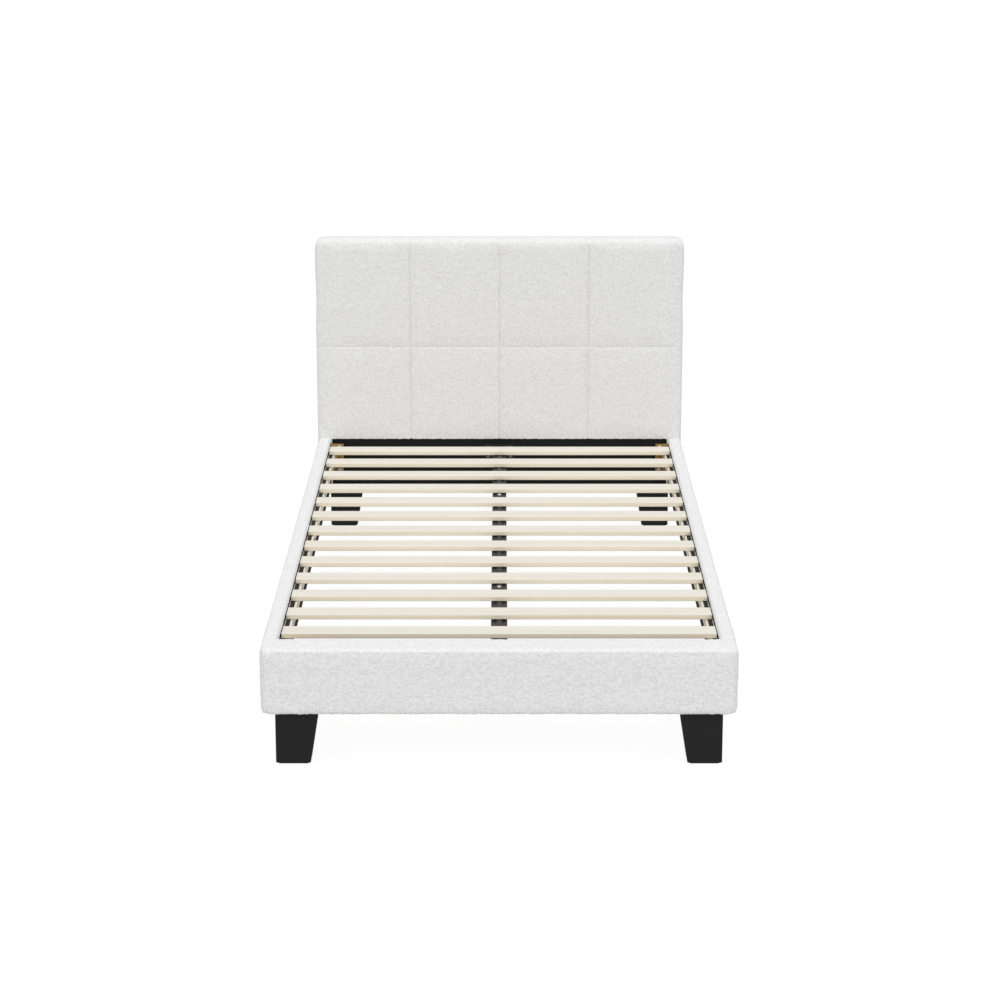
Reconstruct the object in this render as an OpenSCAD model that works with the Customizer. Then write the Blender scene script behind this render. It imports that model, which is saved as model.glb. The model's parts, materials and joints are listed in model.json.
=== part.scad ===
// Upholstered single bed: a padded headboard, cloth-covered rails, a loose set of slats
// on webbing tapes, and a steel centre beam on two adjustable legs.
// X runs across the bed, Y from the foot towards the headboard, and Z up from the floor.

/* [Bed] */
// Width over the side rails, and of the headboard
bed_w = 1068; // [1040:1:1100]
// Length from the front of the foot rail to the back of the headboard
bed_l = 2065; // [2060:1:2120]
// Height of the headboard's upper edge
head_h = 865; // [800:5:1100]
// Height of the upper edge of the rails
rail_top = 273; // [270:1:300]
// Height of the corner legs
leg_h = 121; // [110:1:125]

/* [Upholstery] */
// Thickness of the looped-pile cover
cover_t = 3; // [2:0.5:4]
// Thickness of the black non-woven linings
lining_t = 1; // [0.6:0.2:1.4]
// Thickness of the foam on the front of the headboard
head_foam_t = 24; // [18:1:28]
// Thickness of the foam on the front of the foot rail
foot_foam_t = 15; // [15:1:16]
// Thickness of the foam on the outside of a side rail
side_foam_t = 6; // [4:1:8]
// Thickness of the foam on top of the rails
top_foam_t = 4; // [3:1:6]
// Radius of the headboard's upper corners
head_corner_r = 28; // [20:1:40]
// Radius of the foot rail's outer corners, seen from above
foot_corner_r = 18; // [12:1:24]
// Width of the cover's margins around the lower front panel and the back
cover_margin = 40; // [36:1:50]
// How far the cover turns down inside the rails
lip_h = 10; // [6:1:12]

/* [Frame] */
// Thickness of the headboard with its cover
head_t = 80; // [78:1:90]
// Thickness of the foot rail with its cover
foot_t = 80; // [78:1:84]
// Thickness of a side rail with its cover
side_t = 36.5; // [34:0.5:40]
// Width of the headboard's posts and cross rails
timber_w = 60; // [50:1:64]
// Thickness of the headboard's face board
face_t = 5; // [4:1:6]
// Thickness of the two boards in the foot rail
foot_board_t = 15; // [15:1:17]
// Height of the middle rail, where the headboard's seam is pulled in
seam_z = 548.5; // [480:0.5:620]

/* [Slats] */
// Number of slats
slat_n = 13; // [10:1:13]
// Width of a slat
slat_w = 58; // [50:1:64]
// Thickness of a slat
slat_t = 12; // [10:1:14]
// Distance from one slat to the next
slat_pitch = 143.6; // [140:0.1:144]
// Gap between the first slat and the headboard
slat_head_gap = 47; // [45:1:50]
// Gap between a slat's end and the rail's cover
slat_end_gap = 1; // [0.5:0.5:2]
// How far the slats' upper face lies below the top of the rails
slat_drop = 12.5; // [10:0.5:16]
// Width of the webbing tapes under the slats' ends
tape_w = 10; // [8:1:12]
// Width of the ledges that carry the slats
ledge_w = 17.5; // [16:0.5:20]
// Height of the ledges
ledge_h = 27.5; // [24:0.5:32]

/* [Centre support] */
// Width of the centre beam
beam_w = 38; // [36:1:42]
// Height of the centre beam
beam_h = 30; // [26:1:34]
// Width of the raised rib along the beam
rib_w = 11; // [10:1:14]
// Height of the raised rib
rib_h = 3; // [2:0.5:4]
// Place of the centre leg nearer the foot
centre_leg_foot_y = -473.5; // [-490:0.5:-460]
// Place of the centre leg nearer the head
centre_leg_head_y = 395.5; // [380:0.5:410]
// Outer diameter of a centre leg
centre_leg_d = 32; // [28:1:33]

/* [Corner legs] */
// Width of a corner leg at its top
leg_top_w = 97; // [90:1:100]
// Width of a corner leg at the floor
leg_foot_w = 78; // [74:1:84]
// Depth of a corner leg
leg_depth = 56; // [50:1:58]
// Distance from the bed's side to the outer face of a corner leg
leg_inset = 32; // [30:1:36]
// Setback of the front legs behind the face of the foot rail
leg_front_setback = 10; // [9:1:12]
// Setback of the rear legs from the back of the headboard
leg_rear_setback = 5.5; // [4:0.5:7]
// Thickness of the glides under the corner legs
glide_t = 3; // [2:0.5:4]

/* [Hidden] */
$fn = 48;
past = 1;                                   // how far a cutter runs past a face

// Planes of the headboard, along Y
head_front = bed_l / 2 - head_t;
head_back = bed_l / 2;
head_in_front = head_front + cover_t;
head_in_back = head_back - cover_t;
face_front = head_in_front + head_foam_t;
face_back = face_front + face_t;

// Planes of the foot rail, along Y
foot_front = -bed_l / 2;
foot_back = foot_front + foot_t;
foot_in_front = foot_front + cover_t;
foot_in_back = foot_back - cover_t;
outer_board_front = foot_in_front + foot_foam_t;
outer_board_back = outer_board_front + foot_board_t;
inner_board_front = foot_in_back - foot_board_t;

// Planes across the bed, along X
side_out = bed_w / 2;
side_in = side_out - cover_t;
board_out = side_in - side_foam_t;
lip_in = side_out - side_t;
board_in = lip_in + cover_t;
lining_in = board_in - lining_t;
margin_in = side_out - cover_margin;

// Levels
rail_low = leg_h;
in_low = rail_low + cover_t;
in_top = rail_top - cover_t;
board_top = in_top - top_foam_t;
lining_top = rail_top - lip_h;
head_in_top = head_h - cover_t;
slat_top = rail_top - slat_drop;
slat_low = slat_top - slat_t;
tape_t = 1;
ledge_top = slat_low - tape_t;

// Slats
slat_l = 2 * (lip_in - slat_end_gap);
slat_round = 2;
slat_first = head_front - slat_head_gap;    // rear edge of the first slat
slat_last = slat_first - (slat_n - 1) * slat_pitch - slat_w;
tape_over = 3;                              // tape past the first and the last slat

// Corner joints: a block on the rail, two bolts and their T-nuts
block_w = 38.5;
block_d = 14;
block_low = 170;
block_top = 257.5;
block_face = head_front;                    // outer face of the block, from the middle
block_inner = block_face - block_d;
bolt_x = lining_in - 27;
bolt_z = [181, 249];
bolt_r = 4;
bolt_l = 36;
bolt_head_r = 7;
bolt_head_t = 4.5;
bolt_hole_r = 4.5;
nut_barrel_r = 5;
nut_barrel_l = 10;
nut_flange_r = 10;
nut_flange_t = 2;
fit = 0.05;                                 // clearance around a seated fastener
nut_head_y = face_front - nut_flange_t;     // inner face of a T-nut's flange
nut_foot_y = -inner_board_front;            // the same at the foot

// Wood screws
screw_r = 2;
screw_head_r = 4;
screw_head_t = 2;
ledge_screw_l = 35;
ledge_screw_n = 9;
ledge_screw_z = ledge_top - ledge_h / 2;
ledge_end = block_inner - 0.5;              // the ledges stop short of the corner blocks
ledge_screw_step = (2 * ledge_end - 80) / (ledge_screw_n - 1);
ledge_screw_y = [for (i = [0 : ledge_screw_n - 1]) -ledge_end + 40 + i * ledge_screw_step];
block_screw_l = 55;
block_screw_z = [200, 232];
block_screw_y = block_face - block_d / 2;

// Centre beam and its hangers
beam_t = 1.5;
beam_top = slat_low;
beam_low = beam_top - beam_h;
plate_t = 2;
plate_w = 84;
plate_h = 44;
panel_face = head_in_front - lining_t;      // face of the lower front panel
plate_face = panel_face - plate_t;
saddle_gap = 0.25;
saddle_d = 30;
saddle_wall_h = 20;
plate_low = beam_low - 8;
plate_screw_x = 33;
plate_screw_z = [plate_low + 8, plate_low + plate_h - 8];
plate_screw_l = 14;
beam_end = plate_face - 1;

// Centre legs and their levelling feet
centre_leg_r = centre_leg_d / 2;
centre_leg_t = 1.5;
centre_leg_top = beam_top - rib_h - beam_t;
centre_leg_low = 30;
cap_t = 3;
boss_r = 6;
boss_l = 8;
centre_bolt_r = 3;
centre_bolt_head_r = 5.75;
centre_bolt_head_t = 3.3;
centre_bolt_l = 20;
plug_h = 15;
stud_r = 4;
stud_low = 4;
stud_top = 62;
stud_collar_r = 7.5;
stud_collar_z = [12, 17];
pad_r = 18;
pad_h = 6;
pad_hub_r = 9;
pad_hub_h = 11;

// Corner legs
leg_out = side_out - leg_inset;
leg_mid_x = leg_out - leg_top_w / 2;
leg_front_y = foot_front + leg_front_setback + leg_depth / 2;
leg_rear_y = head_back - leg_rear_setback - leg_depth / 2;
leg_stud_low = leg_h - 30;
leg_stud_top = leg_h + 30;
glide_inset = 4;
glide_r = 6;

// Spacer blocks in the foot rail
spacer_in = leg_mid_x - 38;
spacer_out = leg_mid_x + 7.5;
foot_cap_t = 5;
spacer_top = board_top - foot_cap_t;
centre_spacer_w = 60;

SLATS = [for (i = [0 : slat_n - 1]) str("slat_", i < 9 ? "0" : "", i + 1)];

// ---- Shared shapes ----

// A block between two corners
module slab(x, y, z) {
    translate([x[0], y[0], z[0]]) cube([x[1] - x[0], y[1] - y[0], z[1] - z[0]]);
}

// A flat outline of X and Z, made solid from y[0] to y[1]
module upright(y) {
    translate([0, y[1], 0]) rotate([90, 0, 0]) linear_extrude(y[1] - y[0]) children();
}

// Rods along each axis
module rod_x(x, y, z, r) {
    translate([x[0], y, z]) rotate([0, 90, 0]) cylinder(h = x[1] - x[0], r = r);
}

module rod_y(x, y, z, r) {
    translate([x, y[1], z]) rotate([90, 0, 0]) cylinder(h = y[1] - y[0], r = r);
}

module rod_z(x, y, z, r) {
    translate([x, y, z[0]]) cylinder(h = z[1] - z[0], r = r);
}

// The right-hand piece, or its mirror image on the left
module on_side(s) {
    if (s > 0) children();
    else mirror([1, 0, 0]) children();
}

module both_sides() {
    children();
    mirror([1, 0, 0]) children();
}

// The head-end piece, or its mirror image at the foot
module on_end(e) {
    if (e > 0) children();
    else mirror([0, 1, 0]) children();
}

// ---- Headboard ----

// Front view of the headboard, drawn in by inset and standing on z_low
module head_outline(inset, z_low) {
    w = bed_w / 2 - inset;
    top = head_h - inset;
    r = head_corner_r - inset;
    translate([-w, z_low]) square([2 * w, top - r - z_low]);
    translate([r - w, z_low]) square([2 * (w - r), top - z_low]);
    for (s = [-1, 1]) translate([s * (w - r), top - r]) circle(r = r);
}

module head_post(s) {
    color("burlywood") intersection() {
        upright([face_back, head_in_back]) head_outline(cover_t, in_low);
        on_side(s) slab([side_in - timber_w, side_out], [face_back, head_in_back], [in_low, head_h]);
    }
}

module head_cross_rail(z_mid) {
    x = side_in - timber_w;
    color("burlywood") slab([-x, x], [face_back, head_in_back], [z_mid - timber_w / 2, z_mid + timber_w / 2]);
}

module head_bottom_rail() {
    difference() {
        head_cross_rail(in_low + timber_w / 2);
        both_sides() rod_z(leg_mid_x, leg_rear_y, [in_low - past, leg_stud_top], stud_r + fit);
    }
}

// Hard timber behind the lower front panel, which the corner joints pull against
module head_packing_rail() {
    color("burlywood") difference() {
        slab([-side_in, side_in], [head_in_front, face_front], [in_low, rail_top]);
        both_sides() corner_nut_holes(nut_head_y);
        hanger_screw_holes();
    }
}

module head_face_board() {
    color("tan") upright([face_front, face_back]) head_outline(cover_t, in_low);
}

module head_foam() {
    color("lightyellow") upright([head_in_front, face_front]) head_outline(cover_t, rail_top);
}

module head_cover() {
    color("whitesmoke") difference() {
        upright([head_front, head_back]) head_outline(0, rail_low);
        upright([head_in_front, head_in_back]) head_outline(cover_t, in_low);
        slab([-margin_in, margin_in], [head_front - past, head_in_front + past], [in_low, rail_top]);
        slab([-margin_in, margin_in], [head_in_back - past, head_back + past],
             [rail_low + cover_margin, head_h - cover_margin]);
        both_sides() rod_z(leg_mid_x, leg_rear_y, [rail_low - past, in_low + past], bolt_hole_r);
    }
}

module head_lower_cover() {
    color("black") difference() {
        slab([-margin_in, margin_in], [panel_face, head_in_front], [in_low, rail_top]);
        both_sides() corner_bolt_holes();
        hanger_screw_holes();
    }
}

module head_back_cover() {
    color("black") slab([-margin_in, margin_in], [head_in_back, head_in_back + lining_t],
                        [rail_low + cover_margin, head_h - cover_margin]);
}

// ---- Side rails ----

module side_rail_board(s) {
    color("burlywood") on_side(s) difference() {
        slab([board_in, board_out], [foot_back, head_front], [in_low, board_top]);
        ledge_screw_holes();
        block_screw_holes();
    }
}

module side_rail_foam(s) {
    color("lightyellow") on_side(s) {
        slab([board_out, side_in], [foot_back, head_front], [in_low, in_top]);
        slab([board_in, board_out], [foot_back, head_front], [board_top, in_top]);
    }
}

module side_rail_cover(s) {
    color("whitesmoke") on_side(s) difference() {
        slab([lip_in, side_out], [foot_back, head_front], [rail_low, rail_top]);
        slab([board_in, side_in], [foot_back - past, head_front + past], [in_low, in_top]);
        slab([lip_in - past, board_in], [foot_back - past, head_front + past], [rail_low - past, lining_top]);
    }
}

module slat_ledge(s) {
    color("wheat") on_side(s) difference() {
        slab([lining_in - ledge_w, lining_in], [-ledge_end, ledge_end], [ledge_top - ledge_h, ledge_top]);
        ledge_screw_holes();
    }
}

// One sheet inside each side rail, and one inside the foot rail
module rail_linings() {
    color("black") {
        both_sides() difference() {
            slab([lining_in, board_in], [foot_back, head_front], [in_low, lining_top]);
            ledge_screw_holes();
            block_screw_holes();
        }
        difference() {
            slab([-lip_in, lip_in], [foot_in_back, foot_in_back + lining_t], [in_low, lining_top]);
            mirror([0, 1, 0]) {
                both_sides() corner_bolt_holes();
                hanger_screw_holes();
            }
        }
    }
}

// ---- Foot rail ----

// Plan of the foot rail, drawn in by inset, with its two outer corners rounded
module foot_plan(inset) {
    w = bed_w / 2 - inset;
    front = foot_front + inset;
    back = foot_back - inset;
    r = foot_corner_r - inset;
    translate([-w, front + r]) square([2 * w, back - front - r]);
    translate([r - w, front]) square([2 * (w - r), back - front]);
    for (s = [-1, 1]) translate([s * (w - r), front + r]) circle(r = r);
}

module foot_outer_board() {
    color("tan") slab([-side_in, side_in], [outer_board_front, outer_board_back], [in_low, board_top]);
}

module foot_inner_board() {
    color("tan") difference() {
        slab([-side_in, side_in], [inner_board_front, foot_in_back], [in_low, board_top]);
        mirror([0, 1, 0]) {
            both_sides() corner_nut_holes(nut_foot_y);
            hanger_screw_holes();
        }
    }
}

module foot_cap() {
    color("burlywood")
        slab([-side_in, side_in], [outer_board_back, inner_board_front], [spacer_top, board_top]);
}

// A block over each leg and one behind the beam's hanger
module foot_spacers() {
    color("burlywood") {
        both_sides() difference() {
            slab([spacer_in, spacer_out], [outer_board_back, inner_board_front], [in_low, spacer_top]);
            rod_z(leg_mid_x, leg_front_y, [in_low - past, leg_stud_top], stud_r + fit);
        }
        slab([-centre_spacer_w / 2, centre_spacer_w / 2], [outer_board_back, inner_board_front],
             [in_low, spacer_top]);
    }
}

module foot_foam() {
    color("lightyellow") {
        intersection() {
            translate([0, 0, in_low]) linear_extrude(in_top - in_low) foot_plan(cover_t);
            slab([-side_in, side_in], [foot_in_front, outer_board_front], [in_low, in_top]);
        }
        slab([-side_in, side_in], [outer_board_front, foot_in_back], [board_top, in_top]);
    }
}

module foot_cover() {
    color("whitesmoke") difference() {
        translate([0, 0, rail_low]) linear_extrude(rail_top - rail_low) foot_plan(0);
        translate([0, 0, in_low]) linear_extrude(in_top - in_low) foot_plan(cover_t);
        slab([-lip_in, lip_in], [foot_in_back - past, foot_back + past], [in_low, lining_top]);
        both_sides() rod_z(leg_mid_x, leg_front_y, [rail_low - past, in_low + past], bolt_hole_r);
    }
}

// ---- Corner joints ----

// Clearance holes for the two bolts of the head end's right corner
module corner_bolt_holes() {
    for (z = bolt_z) rod_y(bolt_x, [block_inner - past, block_face + bolt_l], z, bolt_hole_r);
}

// The same holes, stepped for T-nuts whose flanges start at y
module corner_nut_holes(y) {
    for (z = bolt_z) {
        rod_y(bolt_x, [block_face - past, y], z, bolt_hole_r);
        rod_y(bolt_x, [y - nut_barrel_l, y + past], z, nut_barrel_r + fit);
        rod_y(bolt_x, [y, y + nut_flange_t + past], z, nut_flange_r + fit);
    }
}

module corner_blocks() {
    color("peru") for (e = [-1, 1]) on_end(e) both_sides() difference() {
        slab([lining_in - block_w, lining_in], [block_inner, block_face], [block_low, block_top]);
        corner_bolt_holes();
        block_screw_holes();
    }
}

module corner_bolts() {
    color("silver") for (e = [-1, 1]) on_end(e) both_sides() for (z = bolt_z) {
        rod_y(bolt_x, [block_inner - bolt_head_t, block_inner], z, bolt_head_r);
        rod_y(bolt_x, [block_inner - past, block_inner + bolt_l], z, bolt_r);
    }
}

module t_nut(z, y) {
    difference() {
        union() {
            rod_y(bolt_x, [y, y + nut_flange_t], z, nut_flange_r);
            rod_y(bolt_x, [y - nut_barrel_l, y + past], z, nut_barrel_r);
        }
        rod_y(bolt_x, [y - nut_barrel_l - past, y + nut_flange_t + past], z, bolt_r + fit);
    }
}

module corner_t_nuts() {
    color("silver") both_sides() for (z = bolt_z) {
        t_nut(z, nut_head_y);
        mirror([0, 1, 0]) t_nut(z, nut_foot_y);
    }
}

// ---- Wood screws ----

module ledge_screw_holes() {
    x = lining_in - ledge_w;
    for (y = ledge_screw_y) rod_x([x - past, x + ledge_screw_l], y, ledge_screw_z, screw_r + fit);
}

module block_screw_holes() {
    x = lining_in - block_w;
    for (e = [-1, 1]) on_end(e) for (z = block_screw_z)
        rod_x([x - past, x + block_screw_l], block_screw_y, z, screw_r + fit);
}

module hanger_screw_holes() {
    both_sides() for (z = plate_screw_z)
        rod_y(plate_screw_x, [plate_face - past, plate_face + plate_screw_l], z, screw_r + fit);
}

// A screw along X with the underside of its head at x
module screw_x(x, y, z, length) {
    rod_x([x - screw_head_t, x], y, z, screw_head_r);
    rod_x([x - past, x + length], y, z, screw_r);
}

module wood_screws() {
    color("silver") {
        both_sides() {
            for (y = ledge_screw_y) screw_x(lining_in - ledge_w, y, ledge_screw_z, ledge_screw_l);
            for (e = [-1, 1]) on_end(e) for (z = block_screw_z)
                screw_x(lining_in - block_w, block_screw_y, z, block_screw_l);
        }
        for (e = [-1, 1]) on_end(e) both_sides() for (z = plate_screw_z) {
            rod_y(plate_screw_x, [plate_face - screw_head_t, plate_face], z, screw_head_r);
            rod_y(plate_screw_x, [plate_face - past, plate_face + plate_screw_l], z, screw_r);
        }
    }
}

// ---- Corner legs ----

// A tapered leg under the right-hand corner at y, with a bore for its stud
module corner_leg(s, y) {
    low = leg_out - leg_foot_w;
    top = leg_out - leg_top_w;
    color("dimgray") on_side(s) difference() {
        upright([y - leg_depth / 2, y + leg_depth / 2])
            polygon([[low, glide_t], [leg_out, glide_t], [leg_out, leg_h], [top, leg_h]]);
        rod_z(leg_mid_x, y, [leg_stud_low, leg_h + past], stud_r + fit);
    }
}

module leg_studs() {
    color("silver") both_sides() for (y = [leg_front_y, leg_rear_y])
        rod_z(leg_mid_x, y, [leg_stud_low, leg_stud_top], stud_r);
}

module leg_glides() {
    w = leg_foot_w - 2 * glide_inset;
    d = leg_depth - 2 * glide_inset;
    color("black") both_sides() for (y = [leg_front_y, leg_rear_y])
        translate([leg_out - leg_foot_w / 2, y, 0]) linear_extrude(glide_t) {
            square([w - 2 * glide_r, d], center = true);
            square([w, d - 2 * glide_r], center = true);
            for (a = [-1, 1], b = [-1, 1])
                translate([a * (w / 2 - glide_r), b * (d / 2 - glide_r)]) circle(r = glide_r);
        }
}

// ---- Centre support ----

// A folded steel channel, open below, with a raised rib along its top
module beam_section() {
    top = beam_top - rib_h;
    difference() {
        union() {
            translate([-beam_w / 2, beam_low]) square([beam_w, top - beam_low]);
            translate([-rib_w / 2, beam_low]) square([rib_w, beam_h]);
        }
        translate([beam_t - beam_w / 2, beam_low - past])
            square([beam_w - 2 * beam_t, top - beam_t - beam_low + past]);
        translate([beam_t - rib_w / 2, beam_low]) square([rib_w - 2 * beam_t, beam_h - beam_t]);
    }
}

module centre_beam() {
    color("dimgray") difference() {
        upright([-beam_end, beam_end]) beam_section();
        for (y = [centre_leg_foot_y, centre_leg_head_y])
            rod_z(0, y, [beam_top - beam_t - past, beam_top + past], centre_bolt_r + 0.25);
    }
}

// A plate screwed to the bed's end, with a saddle that holds the beam
module beam_hanger(e) {
    inner = beam_w / 2 + saddle_gap;
    color("dimgray") on_end(e) difference() {
        union() {
            slab([-plate_w / 2, plate_w / 2], [plate_face, panel_face], [plate_low, plate_low + plate_h]);
            difference() {
                slab([-inner - plate_t, inner + plate_t], [plate_face - saddle_d, plate_face + past],
                     [beam_low - plate_t, beam_low + saddle_wall_h]);
                slab([-inner, inner], [plate_face - saddle_d - past, plate_face],
                     [beam_low, beam_low + saddle_wall_h + past]);
            }
        }
        hanger_screw_holes();
    }
}

// A tube with a capped top and a threaded plug at its foot
module centre_leg(y) {
    in_r = centre_leg_r - centre_leg_t;
    color("dimgray") difference() {
        union() {
            difference() {
                rod_z(0, y, [centre_leg_low, centre_leg_top], centre_leg_r);
                rod_z(0, y, [centre_leg_low + plug_h, centre_leg_top - cap_t], in_r);
            }
            rod_z(0, y, [centre_leg_top - cap_t - boss_l, centre_leg_top - cap_t / 2], boss_r);
        }
        rod_z(0, y, [centre_leg_top - cap_t - boss_l - past, centre_leg_top + past], centre_bolt_r + fit);
        rod_z(0, y, [centre_leg_low - past, centre_leg_low + plug_h + past], stud_r + fit);
    }
}

module centre_leg_bolts() {
    color("silver") for (y = [centre_leg_foot_y, centre_leg_head_y]) {
        rod_z(0, y, [beam_top, beam_top + centre_bolt_head_t], centre_bolt_head_r);
        rod_z(0, y, [beam_top - centre_bolt_l, beam_top + past], centre_bolt_r);
    }
}

// A round pad whose hub holds the end of the stud
module levelling_pad(y) {
    color("black") difference() {
        union() {
            rod_z(0, y, [0, pad_h], pad_r);
            rod_z(0, y, [pad_h - past, pad_hub_h], pad_hub_r);
        }
        rod_z(0, y, [stud_low - fit, pad_hub_h + past], stud_r + fit);
    }
}

module levelling_stud(y) {
    color("silver") {
        rod_z(0, y, [stud_low, stud_top], stud_r);
        translate([0, y, stud_collar_z[0]])
            cylinder(h = stud_collar_z[1] - stud_collar_z[0], r = stud_collar_r, $fn = 6);
    }
}

// ---- Slat set ----

module slat(i) {
    y = slat_first - i * slat_pitch - slat_w;
    r = slat_round;
    color("wheat") translate([-slat_l / 2, y, slat_low]) rotate([90, 0, 90]) linear_extrude(slat_l) {
        translate([0, r]) square([slat_w, slat_t - 2 * r]);
        translate([r, 0]) square([slat_w - 2 * r, slat_t]);
        for (a = [r, slat_w - r], b = [r, slat_t - r]) translate([a, b]) circle(r = r);
    }
}

module slat_webbing() {
    outer = slat_l / 2;
    color("black") both_sides()
        slab([outer - tape_w, outer], [slat_last - tape_over, slat_first + tape_over], [ledge_top, slat_low]);
}

// ---- Nodes ----

head_post(-1);  // headboard_left_post
head_post(1);  // headboard_right_post
head_cross_rail(head_in_top - timber_w / 2);  // headboard_top_rail
head_cross_rail(seam_z);  // headboard_middle_rail
head_bottom_rail();  // headboard_bottom_rail
head_packing_rail();  // headboard_packing_rail
head_face_board();  // headboard_face_board
head_foam();  // headboard_foam
head_cover();  // headboard_cover
head_lower_cover();  // headboard_lower_cover
head_back_cover();  // headboard_back_cover
side_rail_board(-1);  // side_rail_board_left
side_rail_board(1);  // side_rail_board_right
side_rail_foam(-1);  // side_rail_foam_left
side_rail_foam(1);  // side_rail_foam_right
side_rail_cover(-1);  // side_rail_cover_left
side_rail_cover(1);  // side_rail_cover_right
rail_linings();
slat_ledge(-1);  // slat_ledge_left
slat_ledge(1);  // slat_ledge_right
foot_outer_board();  // foot_rail_outer_board
foot_inner_board();  // foot_rail_inner_board
foot_cap();  // foot_rail_cap
foot_spacers();  // foot_rail_spacers
foot_foam();  // foot_rail_foam
foot_cover();  // foot_rail_cover
corner_blocks();
corner_bolts();
corner_t_nuts();
corner_leg(-1, leg_front_y);  // front_left_leg
corner_leg(1, leg_front_y);  // front_right_leg
corner_leg(-1, leg_rear_y);  // rear_left_leg
corner_leg(1, leg_rear_y);  // rear_right_leg
leg_studs();
leg_glides();
centre_beam();
beam_hanger(1);  // beam_hanger_head
beam_hanger(-1);  // beam_hanger_foot
centre_leg(centre_leg_foot_y);  // centre_leg_foot
centre_leg(centre_leg_head_y);  // centre_leg_head
centre_leg_bolts();
levelling_pad(centre_leg_foot_y);  // levelling_pad_foot
levelling_pad(centre_leg_head_y);  // levelling_pad_head
levelling_stud(centre_leg_foot_y);  // levelling_stud_foot
levelling_stud(centre_leg_head_y);  // levelling_stud_head
wood_screws();
slat_webbing();
for (i = [0 : slat_n - 1]) slat(i);
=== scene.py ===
"""An upholstered single bed: its cloth, padding, timber and fittings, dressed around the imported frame.

Every place comes from the frame's own boxes. Lengths are in metres, and MM turns millimetres into metres.
"""

import json
import logging
import math
import random
from dataclasses import dataclass, field
from enum import Enum
from typing import Callable, Iterable, Optional, Sequence, Union

import bmesh
import bpy
import numpy as np
from mathutils import Matrix, Vector, noise


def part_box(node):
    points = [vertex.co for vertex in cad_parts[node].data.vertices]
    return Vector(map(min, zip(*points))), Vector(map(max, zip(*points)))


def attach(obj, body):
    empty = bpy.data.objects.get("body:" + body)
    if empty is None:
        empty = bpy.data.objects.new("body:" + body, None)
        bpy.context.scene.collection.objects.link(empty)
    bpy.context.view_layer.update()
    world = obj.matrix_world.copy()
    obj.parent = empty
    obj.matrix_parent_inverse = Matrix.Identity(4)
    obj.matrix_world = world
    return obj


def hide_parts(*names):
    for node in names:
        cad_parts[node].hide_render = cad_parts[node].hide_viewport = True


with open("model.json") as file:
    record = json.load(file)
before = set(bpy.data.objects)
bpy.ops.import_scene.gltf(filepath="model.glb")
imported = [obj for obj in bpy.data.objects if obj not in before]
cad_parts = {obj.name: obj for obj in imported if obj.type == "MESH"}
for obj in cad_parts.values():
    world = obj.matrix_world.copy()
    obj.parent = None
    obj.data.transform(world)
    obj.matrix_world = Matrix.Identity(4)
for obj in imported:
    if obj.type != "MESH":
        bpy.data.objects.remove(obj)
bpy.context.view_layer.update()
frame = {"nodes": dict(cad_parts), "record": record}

LOG = logging.getLogger("bed")
MM = 0.001
UPRIGHT_SEAMS = (-260 * MM, 0.0, 260 * MM)
SAME_PLACE = 0.01 * MM
BODY = "bed_frame"


class Slot(Enum):
    """The material slots of the bed."""

    LOOPED = "looped_fabric"
    LINING = "black_lining"
    WEBBING = "black_webbing"
    FOAM = "foam"
    TIMBER = "frame_timber"
    PLYWOOD = "plywood"
    PALE_PINE = "pale_pine"
    AMBER_PINE = "amber_pine"
    STEEL = "black_steel"
    ZINC = "zinc_steel"
    PLASTIC = "black_plastic"
    PAD = "pad_plastic"
    RUBBER = "black_rubber"


class Axis(Enum):
    """An axis of the bed, with its place in a vector."""

    X = 0
    Y = 1
    Z = 2


# ---------------------------------------------------------------- shader graphs


class Socket:
    """An output of a shader node that takes part in Python arithmetic."""

    def __init__(self, graph: "Graph", link: bpy.types.NodeSocket) -> None:
        """Keeps the graph that the output belongs to."""
        self.graph = graph
        self.link = link

    def _math(self, operation: str, *values: "Value") -> "Socket":
        """Adds one Math node on the given values."""
        return self.graph.node("ShaderNodeMath", {"operation": operation}, dict(enumerate(values)))

    def __add__(self, other: "Value") -> "Socket":
        """Adds."""
        return self._math("ADD", self, other)

    def __mul__(self, other: "Value") -> "Socket":
        """Multiplies."""
        return self._math("MULTIPLY", self, other)

    def __sub__(self, other: "Value") -> "Socket":
        """Subtracts."""
        return self._math("SUBTRACT", self, other)

    def __rsub__(self, other: "Value") -> "Socket":
        """Subtracts this output from a number."""
        return self._math("SUBTRACT", other, self)

    __radd__ = __add__
    __rmul__ = __mul__

    def sine(self) -> "Socket":
        """The sine."""
        return self._math("SINE", self)

    def size(self) -> "Socket":
        """The value without its sign."""
        return self._math("ABSOLUTE", self)

    def ridges(self, gain: float = 2.6) -> "Socket":
        """Crests along the curves where a noise passes its middle, narrower with more gain."""
        return 1.0 - gain * (self * 2.0 - 1.0).size()

    def above(self, edge: float, blur: float) -> "Socket":
        """A mask that rises from 0 to 1 across edge, over a width of blur.

        Args:
            edge: The value at the middle of the rise.
            blur: The width of the rise.

        Returns:
            The mask.
        """
        settings = {"interpolation_type": "SMOOTHSTEP"}
        inputs = {0: self, 1: edge - blur / 2, 2: edge + blur / 2}
        return self.graph.node("ShaderNodeMapRange", settings, inputs)


Value = Union[Socket, float]
Colour = tuple[float, float, float]


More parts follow.
